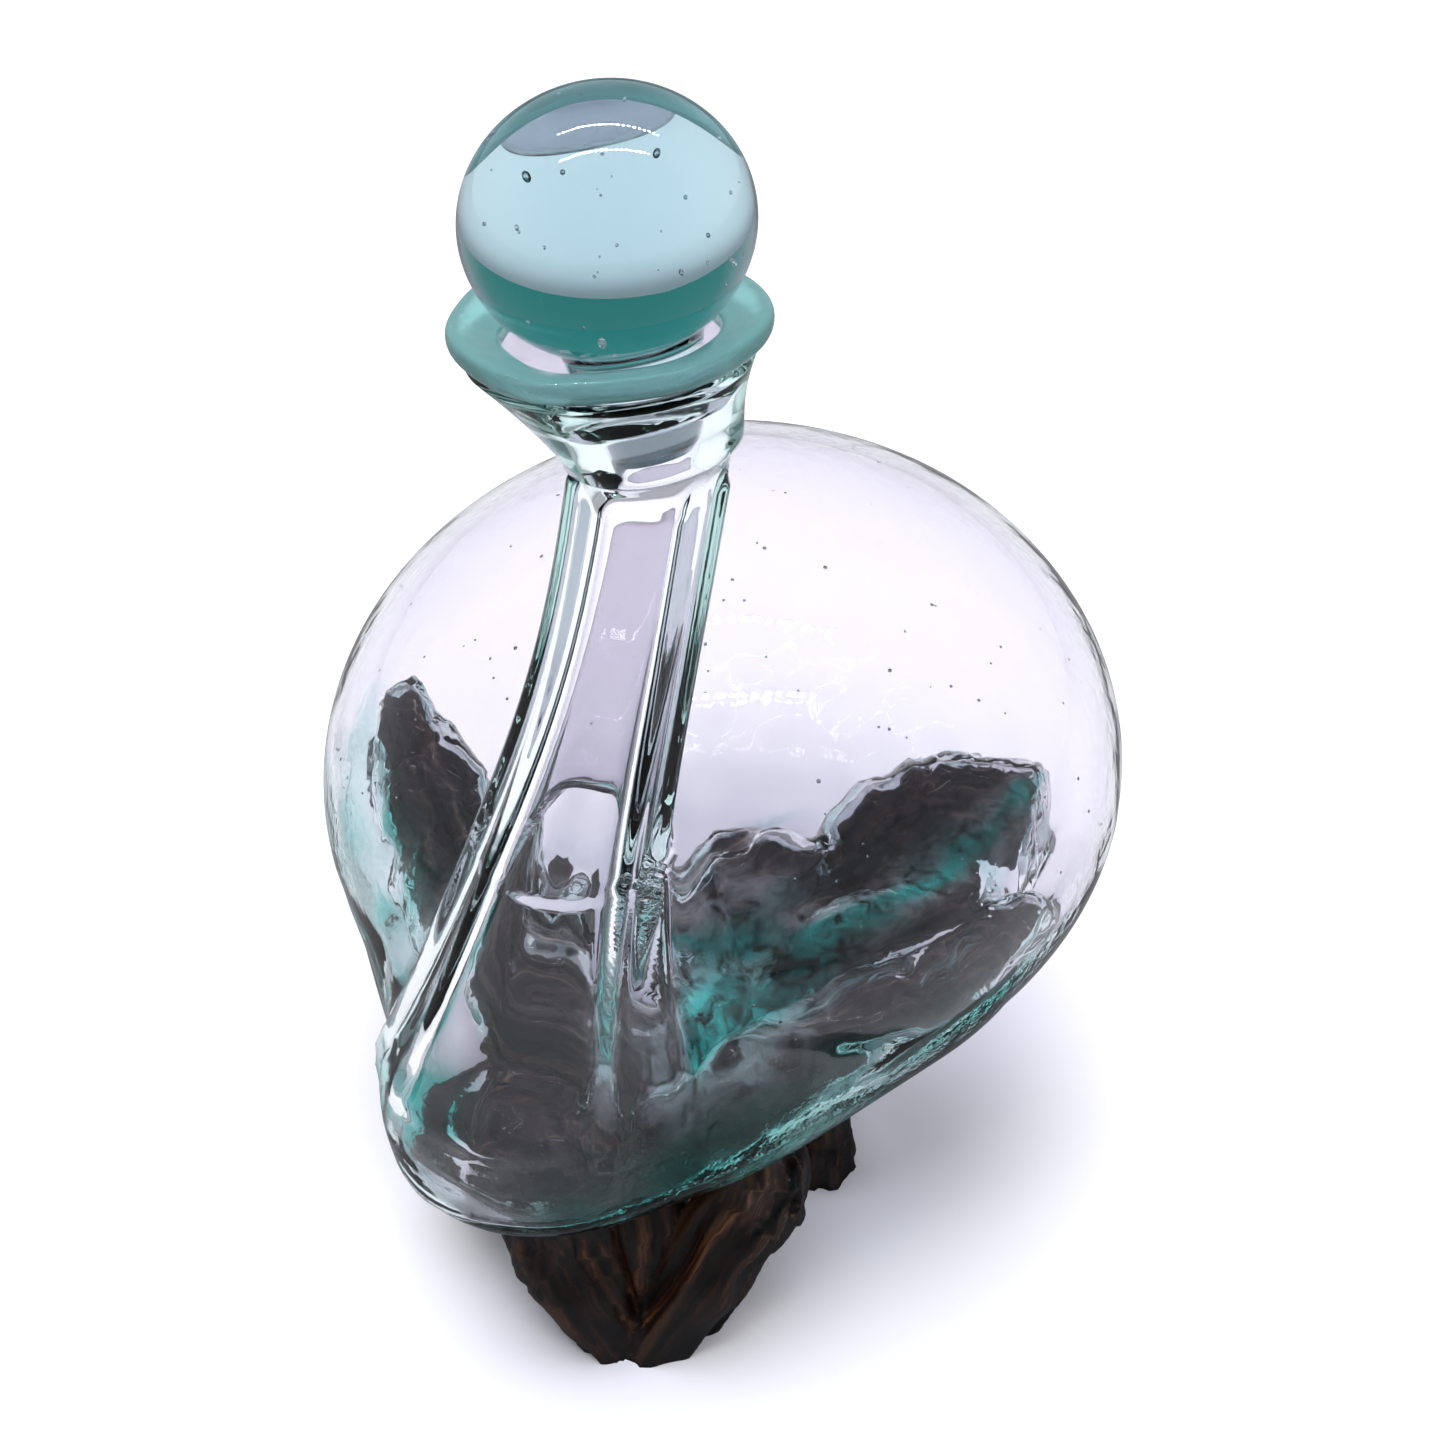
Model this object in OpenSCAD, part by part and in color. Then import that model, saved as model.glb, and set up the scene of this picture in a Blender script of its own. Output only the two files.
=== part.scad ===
// Blown-glass decanter that rests on a piece of driftwood root.
// The glass body is dented from below where the wood's limbs reach up into it.
// The bottle lifts straight up off the wood, and the ball stopper lifts out of the mouth.
// Millimetres. +Z is up, +Y is the back, and the neck stands at the front, at -Y.

/* [Glass body] */
// Width of the glass body, side to side
body_w = 186; // [150:1:230]
// Length of the glass body, front to back
body_l = 223; // [185:1:270]
// Height of the dome above the widest level of the body
dome_h = 70; // [58:1:84]
// Depth of the underside below the widest level
bowl_d = 50; // [42:1:60]
// Height of the body's lowest glass above the table
stand_h = 30; // [25:1:38]
// Glass thickness of the dome and sides
wall = 3; // [2.4:0.1:4]
// Glass thickness of the underside, where it pooled
floor_wall = 6; // [4.5:0.5:8]

/* [Neck] */
// Height of the neck from the widest level of the body to the mouth funnel
neck_h = 138; // [114:1:166]
// Radius of the neck at its narrowest
neck_r = 12.2; // [11.5:0.1:15]
// Radius of the flare where the neck grows out of the body
neck_root_r = 31; // [26:0.5:37]
// Distance that the top of the neck leans to the right of its root
neck_lean_x = 22; // [10:1:26]
// Distance that the top of the neck leans to the back of its root
neck_lean_y = 18; // [0:1:22]
// Glass thickness of the neck
neck_wall = 3; // [2.4:0.1:3.5]

/* [Mouth and stopper] */
// Radius from the mouth axis to the middle of the lip ring's bead
lip_r = 22.4; // [20:0.1:27]
// Radius of the lip ring's bead
bead_r = 3.6; // [2.9:0.1:4.2]
// Height of the funnel between the neck and the lip ring
funnel_h = 16; // [14:0.5:20]
// Distance that the mouth stands to the left of the neck's top
funnel_skew = 8.5; // [4:0.5:9.5]
// Diameter of the stopper's ball
ball_d = 46.2; // [40:0.1:56]
// Height of the stopper's slightly flattened ball
ball_h = 41.5; // [36:0.1:50]
// Radius of the peg at its lower end
peg_tip_r = 7.5; // [6.2:0.1:7.8]
// Radius of the peg where it meets the ball
peg_root_r = 12; // [10.5:0.1:12.8]
// Gap all round between the peg and its seat
seat_gap = 0.35; // [0.3:0.05:0.6]

/* [Driftwood root] */
// Thickness of the limbs against their usual thickness
limb_size = 1; // [0.85:0.01:1.1]
// Gap between the wood and the glass that lies over it
drape_gap = 2.2; // [1.8:0.1:3]

/* [Hidden] */
// Steps round the body, and levels on the dome and on the underside.
ring_n = 60;
dome_levels = 11;
bowl_levels = 15;
tube_n = 36;
limb_fn = 14;
eps = 0.01;

half_w = body_w / 2;
half_l = body_l / 2;
belt_z = stand_h + bowl_d;
// The dome is an ellipsoid whose back touches the back of the body.
dome_back = 0.87 * half_l;
dome_y = half_l - dome_back;
// Everything on the body is measured along lines out from this point.
hub = [0.04 * half_w, -0.18 * half_l, belt_z];

// The neck grows out of a rounded heel at the front of the body.
neck_root = [0.02 * half_w, neck_root_r - half_l - 3.5];
heel = [0.08 * half_w, -0.68 * half_l, 0.72 * belt_z];
heel_size = [0.29 * half_w, 0.26 * half_l, 0.33 * belt_z];
// Low on the body a broad skirt joins the dome to the heel.
skirt = [0.07 * half_w, -0.27 * half_l, 0.7 * belt_z];
skirt_size = [0.65 * half_w, 0.62 * half_l, 0.46 * belt_z];
neck_cut_z = belt_z + 0.77 * dome_h;
neck_top_z = belt_z + neck_h;
heel_blend = 9;
belt_dip = 18;

// The lip ring leans a little, and the seat for the peg leans further.
lip_tilt = [-3.5, -4.2];
seat_tilt = [-2.2, -11.8];
seat_h = 8;
ball_lift = 37.2;

glass = [0.62, 0.85, 0.84, 0.4];
lip_glass = [0.4, 0.68, 0.68, 0.6];
wood = [0.2, 0.14, 0.11];

// ---- the driftwood root ----

// A point on the wood, as shares of the body's half width, half length and belt height.
function spot(x, y, z) = [x * half_w, y * half_l, z * belt_z];

// Each limb is a chain of round stations: [centre, radius].
function station(x, y, z, r) = [spot(x, y, z), r * limb_size];

crown_line = [
    station(-0.3, -0.38, 0.43, 15),
    station(0.09, -0.41, 0.43, 16),
    station(0.32, -0.13, 0.43, 15),
    station(0.09, 0.13, 0.4, 13)];
prong_left_line = [
    station(-0.36, -0.36, 0.48, 11),
    station(-0.57, -0.2, 0.7, 10),
    station(-0.74, -0.05, 0.87, 7)];
prong_centre_line = [
    station(0.15, -0.12, 0.55, 13),
    station(0.24, 0.0, 0.7, 12),
    station(0.29, 0.1, 0.74, 10)];
prong_right_line = [
    station(0.38, -0.04, 0.47, 13),
    station(0.56, 0.24, 0.78, 10),
    station(0.68, 0.28, 0.8, 8)];
limb_side_line = [
    station(0.29, -0.55, 0.46, 8),
    station(0.55, -0.22, 0.54, 8),
    station(0.76, 0.06, 0.62, 7)];
leg_front_right_line = [
    station(0.28, -0.4, 0.42, 11),
    station(0.46, -0.5, 0.4, 9.5),
    station(0.46, -0.64, 0.28, 8.5),
    station(0.36, -0.81, 0.03, 8)];
leg_front_left_line = [
    station(0.02, -0.54, 0.38, 12),
    station(-0.03, -0.7, 0.34, 12),
    station(0.06, -0.82, 0.24, 11),
    station(0.17, -0.84, 0.04, 8)];
leg_right_line = [
    station(0.4, -0.2, 0.3, 10),
    station(0.47, -0.26, 0.04, 9)];
leg_back_left_line = [
    station(-0.3, -0.2, 0.36, 11),
    station(-0.44, 0.14, 0.03, 9)];
leg_back_right_line = [
    station(0.1, 0.25, 0.32, 11),
    station(0.18, 0.52, 0.03, 9)];

// The glass is dented over these limbs.
dent_lines = [crown_line, prong_left_line, prong_centre_line, prong_right_line,
    limb_side_line, leg_front_right_line, leg_front_left_line];
dent_steps = 5;
dent_spread = 8;

module limb(line) {
    for (i = [0 : len(line) - 2])
        hull() {
            translate(line[i][0])
                sphere(line[i][1], $fn = limb_fn);
            translate(line[i + 1][0])
                sphere(line[i + 1][1], $fn = limb_fn);
        }
}

// A leg is a limb sawn off level with the table.
module leg(line) {
    difference() {
        limb(line);
        translate([-body_w, -body_l, -belt_z])
            cube([2 * body_w, 2 * body_l, belt_z]);
    }
}

module root_crown() {
    color(wood)
        limb(crown_line);
}

module prong_left() {
    color(wood)
        difference() {
            limb(prong_left_line);
            limb(crown_line);
        }
}

module prong_centre() {
    color(wood)
        difference() {
            limb(prong_centre_line);
            limb(crown_line);
        }
}

module prong_right() {
    color(wood)
        difference() {
            limb(prong_right_line);
            limb(crown_line);
            limb(prong_centre_line);
        }
}

module limb_side() {
    color(wood)
        difference() {
            limb(limb_side_line);
            limb(crown_line);
        }
}

module leg_front_right() {
    color(wood)
        difference() {
            leg(leg_front_right_line);
            limb(crown_line);
            limb(limb_side_line);
        }
}

module leg_front_left() {
    color(wood)
        difference() {
            leg(leg_front_left_line);
            limb(crown_line);
        }
}

module leg_right() {
    color(wood)
        difference() {
            leg(leg_right_line);
            limb(crown_line);
        }
}

module leg_back_left() {
    color(wood)
        difference() {
            leg(leg_back_left_line);
            limb(crown_line);
            limb(prong_left_line);
        }
}

module leg_back_right() {
    color(wood)
        difference() {
            leg(leg_back_right_line);
            limb(crown_line);
        }
}

// ---- the shape of the blown body ----

function mix(a, b, t) = a + (b - a) * t;
function clamp01(t) = min(1, max(0, t));
function unit(v) = v / norm(v);

// The lesser and the greater of two values, rounded off over a distance k.
function soft_min(a, b, k) = min(a, b) - pow(max(0, k - abs(a - b)), 2) / (4 * k);
function soft_max(a, b, k) = -soft_min(-a, -b, k);

// The neck's share of its height at a level, its centre line and its radius.
function neck_share(z) = (z - belt_z) / neck_h;
function neck_centre(z) =
    let (t = neck_share(z), s = sin(360 * clamp01(t)))
    [neck_root[0] + neck_lean_x * (t + 0.03) - s, neck_root[1] + neck_lean_y * t];
function neck_radius(z) =
    (neck_r + (neck_root_r - neck_r) * pow(1 - clamp01(neck_share(z) + 0.05), 2.2))
        * sqrt(max(0.01, 1 - pow(max(0, 0.87 * belt_z - z) / (0.45 * belt_z), 2)));
// The flare is rounder at its sides than from front to back.
function neck_depth(z) = mix(1, 0.84, pow(1 - clamp01(neck_share(z)), 3));

// Roughly the distance outside the dome, the skirt, the heel, the neck's flare and them all.
function dome_gap(p) =
    let (h = p[2] > belt_z ? dome_h : 1.1 * bowl_d)
    half_w * (norm([p[0] / half_w, (p[1] - dome_y) / dome_back, (p[2] - belt_z) / h]) - 1);
function blob_gap(p, centre, size) =
    let (q = p - centre)
    size[0] * (norm([q[0] / size[0], q[1] / size[1], q[2] / size[2]]) - 1);
function flare_gap(p) =
    let (c = neck_centre(p[2]), q = [p[0] - c[0], (p[1] - c[1]) / neck_depth(p[2])])
    max(norm(q) - neck_radius(p[2]), p[2] - neck_cut_z);
function body_gap(p) =
    soft_min(soft_min(dome_gap(p), blob_gap(p, skirt, skirt_size), 2 * heel_blend),
        soft_min(flare_gap(p), blob_gap(p, heel, heel_size), heel_blend), heel_blend);

// Distance from the hub out to the body's skin, found by halving.
function reach(dir, near, far, steps) =
    let (middle = (near + far) / 2)
    steps == 0 ? middle
    : body_gap(hub + dir * middle) < 0 ? reach(dir, middle, far, steps - 1)
    : reach(dir, near, middle, steps - 1);
function skin_point(dir, inset) =
    hub + dir * (reach(dir, 5, body_l + dome_h, 22) - inset);

function turn(i, n) = 360 * i / n;
// Out from the hub to the body's widest level, which dips towards the front.
function belt_dir(i) =
    let (a = turn(i, ring_n), dip = belt_dip * pow(max(0, -sin(a)), 0.8))
    [cos(a) * cos(dip), sin(a) * cos(dip), -sin(dip)];
function cut_ring_point(i, inset) =
    let (c = neck_centre(neck_cut_z), r = neck_radius(neck_cut_z) - inset)
    [c[0] + r * cos(turn(i, ring_n)), c[1] + r * sin(turn(i, ring_n)), neck_cut_z];
// Part of the way round from the neck's cut to the belt, as a direction from the hub.
function arc_dir(i, t) =
    let (a = unit(cut_ring_point(i, 0) - hub), b = belt_dir(i), w = acos(a * b))
    (a * sin((1 - t) * w) + b * sin(t * w)) / sin(w);

function dome_ring(level, inset) =
    [for (i = [0 : ring_n - 1])
        level == 0 ? cut_ring_point(i, inset)
        : skin_point(unit(arc_dir(i, level / dome_levels)), inset)];

// Height of a limb's top, widened and raised to be the dent over it.
function bump(line, x, y, rise, spread) =
    max([for (i = [0 : len(line) - 2], k = [0 : dent_steps])
        let (t = k / dent_steps,
            c = mix(line[i][0], line[i + 1][0], t),
            r = mix(line[i][1], line[i + 1][1], t),
            d = norm([x - c[0], y - c[1]]) / (r + spread))
        c[2] + (r + rise) * (sqrt(max(0, 1 - d * d)) - 1.5 * max(0, d - 1))]);
function dents(x, y, rise, spread) =
    max([for (line = dent_lines) bump(line, x, y, rise, spread)]);
// The underside falls from the rim as a flattened bowl.
function bowl_z(share, rim_z, low_z) = mix(rim_z, low_z, sqrt(max(0, 1 - pow(share, 2.4))));

function bowl_ring(level, inset, thick) =
    let (share = cos(90 * level / (bowl_levels + 0.6)),
        fade = clamp01((1 - share) / 0.09))
    [for (i = [0 : ring_n - 1])
        let (rim = skin_point(belt_dir(i), inset),
            x = mix(hub[0], rim[0], share),
            y = mix(hub[1], rim[1], share),
            low = bowl_z(share, rim[2], stand_h + thick),
            dent = dents(x, y, drape_gap + thick, dent_spread + thick))
        [x, y, mix(low, soft_max(low, dent, 5), fade)]];
function bowl_pole(thick) =
    [hub[0], hub[1], soft_max(belt_z - bowl_d + thick,
        dents(hub[0], hub[1], drape_gap + thick, dent_spread + thick), 5)];

// Two triangles between each pair of steps on ring a and the next ring b.
function band(a, b, n) =
    [for (i = [0 : n - 1], half = [0, 1])
        let (j = (i + 1) % n)
        half == 0 ? [a + i, a + j, b + j] : [a + i, b + j, b + i]];
function flat_list(rings) = [for (ring = rings) for (p = ring) p];

// The dome runs from the neck's cut down to the belt.
module bottle_dome() {
    n = ring_n;
    rings = concat(
        [for (k = [0 : dome_levels]) dome_ring(k, 0)],
        [for (k = [0 : dome_levels]) dome_ring(dome_levels - k, wall)]);
    color(glass)
        ring_tube([for (k = [0 : len(rings) - 1]) rings[len(rings) - 1 - k]], n);
}

// The base hangs from the belt and closes the body from below.
module bottle_base() {
    outer = concat([dome_ring(dome_levels, 0)], [for (k = [1 : bowl_levels]) bowl_ring(k, 0, 0)]);
    inner = concat([dome_ring(dome_levels, wall)],
        [for (k = [1 : bowl_levels]) bowl_ring(k, wall, floor_wall)]);
    n = ring_n;
    last = len(outer) - 1;
    inner_start = (last + 1) * n;
    pole = 2 * inner_start;
    color(glass)
        polyhedron(
            points = concat(flat_list(outer), flat_list(inner),
                [bowl_pole(0), bowl_pole(floor_wall)]),
            faces = concat(
                [for (k = [0 : last - 1]) for (f = band(k * n, (k + 1) * n, n)) f],
                [for (k = [0 : last - 1])
                    for (f = band(inner_start + k * n, inner_start + (k + 1) * n, n))
                        [f[0], f[2], f[1]]],
                band(inner_start, 0, n),
                [for (i = [0 : n - 1]) [last * n + i, last * n + (i + 1) % n, pole]],
                [for (i = [0 : n - 1])
                    [inner_start + last * n + (i + 1) % n, inner_start + last * n + i,
                        pole + 1]]),
            convexity = 8);
}

// ---- the neck and the mouth ----

// A point turned by a tilt about X and then about Y.
function tipped(p, tilt) =
    let (y = p[1] * cos(tilt[0]) - p[2] * sin(tilt[0]),
        z = p[1] * sin(tilt[0]) + p[2] * cos(tilt[0]))
    [p[0] * cos(tilt[1]) + z * sin(tilt[1]), y, z * cos(tilt[1]) - p[0] * sin(tilt[1])];
neck_end = neck_centre(neck_top_z);
seat_foot = [neck_end[0], neck_end[1], neck_top_z];
lip_centre = seat_foot + [-funnel_skew, 0.28 * funnel_skew, funnel_h + 1];
funnel_top = -0.35 * bead_r;

module at_lip() {
    translate(lip_centre)
        rotate([lip_tilt[0], lip_tilt[1], 0])
            children();
}

module at_seat() {
    translate(seat_foot)
        rotate([seat_tilt[0], seat_tilt[1], 0])
            children();
}

function level_ring(z, r) =
    let (c = neck_centre(z))
    [for (i = [0 : tube_n - 1])
        [c[0] + r * cos(turn(i, tube_n)), c[1] + r * sin(turn(i, tube_n)), z]];
function foot_ring(r) =
    [for (i = [0 : tube_n - 1])
        seat_foot + tipped(r * [cos(turn(i, tube_n)), sin(turn(i, tube_n)), 0], seat_tilt)];

// A closed tube: rings up the outside, then down the inside.
module ring_tube(rings, n) {
    m = len(rings);
    polyhedron(
        points = flat_list(rings),
        faces = [for (k = [0 : m - 1]) for (f = band(((k + 1) % m) * n, k * n, n)) f],
        convexity = 6);
}

module bottle_neck() {
    levels = 9;
    heights = [for (k = [0 : levels - 1]) mix(neck_cut_z, neck_top_z, k / levels)];
    color(glass)
        ring_tube(concat(
            [for (z = heights) level_ring(z, neck_radius(z))],
            [foot_ring(neck_r)],
            [foot_ring(neck_r - neck_wall)],
            [for (k = [1 : levels])
                level_ring(heights[levels - k], neck_radius(heights[levels - k]) - neck_wall)]),
            tube_n);
}

// The funnel's outside leans over from the neck to the lip ring.
// Its inside is a tapered seat for the peg with a wider flare above it.
module mouth_funnel() {
    color(glass)
        difference() {
            hull() {
                at_seat()
                    cylinder(eps, r = neck_r, $fn = tube_n);
                at_lip()
                    translate([0, 0, funnel_top - 2])
                        cylinder(2, r = lip_r, $fn = tube_n);
            }
            at_seat()
                translate([0, 0, -1])
                    cylinder(seat_h + 1, r1 = seat_r(-1), r2 = seat_r(seat_h));
            hull() {
                at_seat()
                    translate([0, 0, seat_h - eps])
                        cylinder(eps, r = seat_r(seat_h), $fn = tube_n);
                at_lip()
                    translate([0, 0, funnel_top])
                        cylinder(eps, r = lip_r - bead_r, $fn = tube_n);
            }
        }
}

// Radius of the peg at a height along the seat, and of the seat, a gap wider all round.
peg_low = 1;
peg_high = ball_lift - ball_h / 2 * sqrt(1 - pow(2 * peg_root_r / ball_d, 2));
function peg_r(z) = mix(peg_tip_r, peg_root_r, (z - peg_low) / (peg_high - peg_low));
function seat_r(z) = peg_r(z) + seat_gap;

module lip_ring() {
    color(lip_glass)
        at_lip()
            rotate_extrude($fn = 96)
                difference() {
                    translate([lip_r, 0])
                        circle(bead_r, $fn = 48);
                    translate([0, funnel_top - 2 * bead_r])
                        square([2 * lip_r, 2 * bead_r]);
                }
}

// The ball and its peg are turned in one profile.
module stopper() {
    start = asin((peg_high - ball_lift) / (ball_h / 2));
    steps = 30;
    color(glass)
        at_seat()
            rotate_extrude($fn = 96)
                polygon(concat(
                    [[0, peg_low], [peg_tip_r, peg_low]],
                    [for (k = [0 : steps])
                        let (a = mix(start, 90, k / steps))
                        [k == steps ? 0 : ball_d / 2 * cos(a), ball_lift + ball_h / 2 * sin(a)]]));
}

bottle_dome();
bottle_base();
bottle_neck();
mouth_funnel();
lip_ring();
stopper();
root_crown();
prong_left();
prong_centre();
prong_right();
limb_side();
leg_front_right();
leg_front_left();
leg_right();
leg_back_left();
leg_back_right();
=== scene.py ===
import math
import bpy
import numpy as np
from mathutils import Euler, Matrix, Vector, bvhtree


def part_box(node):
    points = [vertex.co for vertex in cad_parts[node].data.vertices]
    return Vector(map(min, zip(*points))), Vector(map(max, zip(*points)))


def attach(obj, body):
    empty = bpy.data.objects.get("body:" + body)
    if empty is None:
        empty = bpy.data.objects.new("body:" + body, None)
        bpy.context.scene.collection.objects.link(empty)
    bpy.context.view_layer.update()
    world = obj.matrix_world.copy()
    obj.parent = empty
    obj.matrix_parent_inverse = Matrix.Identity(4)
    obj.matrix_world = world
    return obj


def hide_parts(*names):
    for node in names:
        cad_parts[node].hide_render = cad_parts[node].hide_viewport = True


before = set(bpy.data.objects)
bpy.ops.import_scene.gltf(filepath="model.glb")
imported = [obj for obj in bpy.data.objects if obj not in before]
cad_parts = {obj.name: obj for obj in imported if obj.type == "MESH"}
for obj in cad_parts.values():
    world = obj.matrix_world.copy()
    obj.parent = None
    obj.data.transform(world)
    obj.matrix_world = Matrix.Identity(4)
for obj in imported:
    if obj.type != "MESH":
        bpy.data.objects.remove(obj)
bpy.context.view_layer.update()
MM = 0.001


# ---- Driftwood root ----
# A washed-up piece of gnarled root, sawn level at its feet and waxed dark. It is one piece of
# wood, so every limb grows out of the crown, and the grain runs along each limb.
body_low = np.min([np.array(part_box(n)[0]) for n in ("bottle_dome", "bottle_base")], 0) / MM
body_high = np.max([np.array(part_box(n)[1]) for n in ("bottle_dome", "bottle_base")], 0) / MM
half_w, half_l = (body_high[:2] - body_low[:2]) / 2
belt_z = 80.0
wood_voxel = 1.15

# Every limb is a chain of stations: x, y, z in millimetres, then the two half widths.
limbs = {
    "crown": [(-28, -42, 34, 13, 13), (4, -46, 32, 15, 13), (20, -14, 29, 13, 12), (8, 14, 30, 12, 12)],
    "prong_left": [(-20, -44, 34, 13, 10), (-36, -36, 45, 11, 9), (-50, -27, 56, 12, 9),
                   (-62, -18, 66, 10, 8), (-72, -9, 75, 7, 6.5), (-77, -4, 80, 3.5, 4)],
    "prong_left_back": [(-30, -30, 36, 9, 9), (-46, -14, 45, 7, 8), (-54, -6, 50, 5, 5)],
    "chunk": [(8, -14, 42, 13, 12), (16, -2, 53, 12, 12), (20, 8, 57, 9, 9)],
    "slab_low": [(30, -4, 40, 12, 12), (42, 6, 47, 12, 11), (54, 14, 50, 11, 10), (64, 20, 52, 8, 8)],
    "slab_top": [(34, 14, 52, 8, 9), (44, 24, 64, 8, 10), (56, 30, 66, 8, 10), (68, 33, 66, 7, 9)],
    "slab_edge": [(42, 26, 68, 5, 7), (54, 32, 72, 5, 7), (69, 36, 73, 6, 6)],
    "limb_side": [(8, -68, 33, 8, 7), (30, -58, 39, 8, 7.5), (54, -27, 46, 9, 8.5), (72, 0, 52, 8, 8),
                  (80, 14, 56, 4, 5)],
    "heel_seat": [(-6, -62, 24, 16, 12), (-10, -75, 25, 23, 12), (-11, -84, 23, 21, 9)],
    "leg_front_right": [(24, -50, 28, 10, 9), (43, -60, 27, 11, 10), (39, -76, 14, 10, 9.5),
                        (31, -90, -6, 8.5, 9)],
    "leg_front_mid": [(2, -80, 26, 13, 11), (10, -88, 18, 11, 9), (18, -92, 8, 9, 8),
                      (25, -93, -6, 6.5, 7)],
    "leg_front_web": [(14, -66, 23, 11, 9), (22, -75, 12, 10, 8), (26, -84, -6, 9, 8)],
    "leg_right": [(28, -20, 22, 10, 9), (42, -25, 12, 9, 9), (45, -30, -5, 10, 9)],
    "leg_back_left": [(-26, -26, 30, 11, 11), (-36, 4, 16, 9, 10), (-42, 17, -5, 10, 10)],
    "leg_back_right": [(8, 20, 28, 12, 11), (14, 44, 14, 10, 10), (17, 60, -5, 10, 10)],
}
rng = np.random.default_rng(11)


def waves(points, length, count, seed):
    """Smooth random lumps of about one length, near -1 to 1, from count sine waves."""
    r = np.random.default_rng(seed)
    d = r.normal(size=(count, 3))
    d /= np.linalg.norm(d, axis=1)[:, None]
    k = d * (2 * math.pi / (length * r.uniform(0.75, 1.35, (count, 1))))
    total = np.zeros(len(points))
    for one, phase in zip(k, r.uniform(0, 2 * math.pi, count)):
        total += np.sin(points @ one + phase)
    return total / math.sqrt(count / 2) / 1.6


def smooth_line(stations, step):
    """Catmull-Rom through the stations, at about one step."""
    s = np.array(stations, float)
    ext = np.vstack([2 * s[0] - s[1], s, 2 * s[-1] - s[-2]])
    out = []
    for i in range(1, len(ext) - 2):
        n = max(2, int(np.linalg.norm(ext[i + 1, :3] - ext[i, :3]) / step))
        t = np.arange(n)[:, None] / n
        a, b, c, d = ext[i - 1], ext[i], ext[i + 1], ext[i + 2]
        out.append(0.5 * (2 * b + (c - a) * t + (2 * a - 5 * b + 4 * c - d) * t**2
                          + (3 * b - a - 3 * c + d) * t**3))
    out.append(s[-1][None])
    return np.vstack(out)


def make_mesh(name, points, faces):
    mesh = bpy.data.meshes.new(name)
    mesh.from_pydata([tuple(p) for p in points], [], faces)
    mesh.update()
    ob = bpy.data.objects.new(name, mesh)
    bpy.context.scene.collection.objects.link(ob)
    return ob


def only(ob):
    bpy.ops.object.select_all(action="DESELECT")
    ob.select_set(True)
    bpy.context.view_layer.objects.active = ob


def points_of(ob):
    co = np.zeros(len(ob.data.vertices) * 3)
    ob.data.vertices.foreach_get("co", co)
    return co.reshape(-1, 3)


def normals_of(ob):
    no = np.zeros(len(ob.data.vertices) * 3)
    ob.data.vertices.foreach_get("normal", no)
    return no.reshape(-1, 3)


def set_points(ob, co):
    ob.data.vertices.foreach_set("co", np.asarray(co, float).ravel())
    ob.data.update()


limb_turn = np.linspace(0, 2 * math.pi, 36, endpoint=False)
limb_points, limb_faces, limb_paths = [], [], {}
for name, stations in limbs.items():
    line = smooth_line(stations, 2.5)
    along = np.gradient(line[:, :3], axis=0)
    along /= np.linalg.norm(along, axis=1)[:, None]
    side = np.cross(along, [0, 0, 1.0])
    side /= np.linalg.norm(side, axis=1)[:, None]
    over = np.cross(side, along)
    limb_paths[name] = (line, along, side, over)
    travelled = np.concatenate([[0], np.cumsum(np.linalg.norm(np.diff(line[:, :3], axis=0), axis=1))])
    phase = rng.uniform(0, 6.28, 4)
    start = sum(len(p) for p in limb_points)
    rings = []
    for k in range(len(line)):
        flute = (1 + 0.10 * np.sin(3 * limb_turn + phase[0] + travelled[k] / 19)
                 + 0.07 * np.sin(5 * limb_turn + phase[1] - travelled[k] / 23)
                 + 0.05 * np.sin(8 * limb_turn + phase[2] + travelled[k] / 31))
        rings.append(line[k, :3] + (np.cos(limb_turn) * flute)[:, None] * side[k] * line[k, 3]
                     + (np.sin(limb_turn) * flute)[:, None] * over[k] * line[k, 4])
    n = len(limb_turn)
    ends = [line[0, :3] - along[0] * 3, line[-1, :3] + along[-1] * 2]
    limb_points.append(np.vstack(rings + [e[None] for e in ends]))
    for k in range(len(line) - 1):
        for i in range(n):
            j = (i + 1) % n
            limb_faces.append((start + k * n + i, start + k * n + j,
                               start + (k + 1) * n + j, start + (k + 1) * n + i))
    first, last = start + len(line) * n, start + len(line) * n + 1
    for i in range(n):
        j = (i + 1) % n
        limb_faces.append((start + j, start + i, first))
        limb_faces.append((start + (len(line) - 1) * n + i, start + (len(line) - 1) * n + j, last))
root = make_mesh("driftwood_root", np.vstack(limb_points) * MM, limb_faces)
only(root)
remesh = root.modifiers.new("grown_together", "REMESH")
remesh.mode = "VOXEL"
remesh.voxel_size = wood_voxel * MM
bpy.ops.object.modifier_apply(modifier=remesh.name)
smooth = root.modifiers.new("above_legs_ramp", "SMOOTH")
smooth.iterations = 4
bpy.ops.object.modifier_apply(modifier=smooth.name)


def limb_grain(co):
    """For each point, its place along and round the limb that it belongs to."""
    best = np.full(len(co), 1e9)
    grain = np.zeros((len(co), 3))
    for index, (name, (line, along, side, over)) in enumerate(limb_paths.items()):
        travelled = np.concatenate([[0], np.cumsum(np.linalg.norm(np.diff(line[:, :3], axis=0), axis=1))])
        for k in range(0, len(line), 2):
            q = co - line[k, :3]
            s, a, b = q @ along[k], q @ side[k], q @ over[k]
            reach = np.sqrt((a / line[k, 3])**2 + (b / line[k, 4])**2 + (s / (1.3 * line[k, 3]))**2)
            nearer = reach < best
            best[nearer] = reach[nearer]
            grain[nearer] = np.stack([travelled[k] + s + 160 * index, a, b], 1)[nearer]
    return grain


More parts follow.
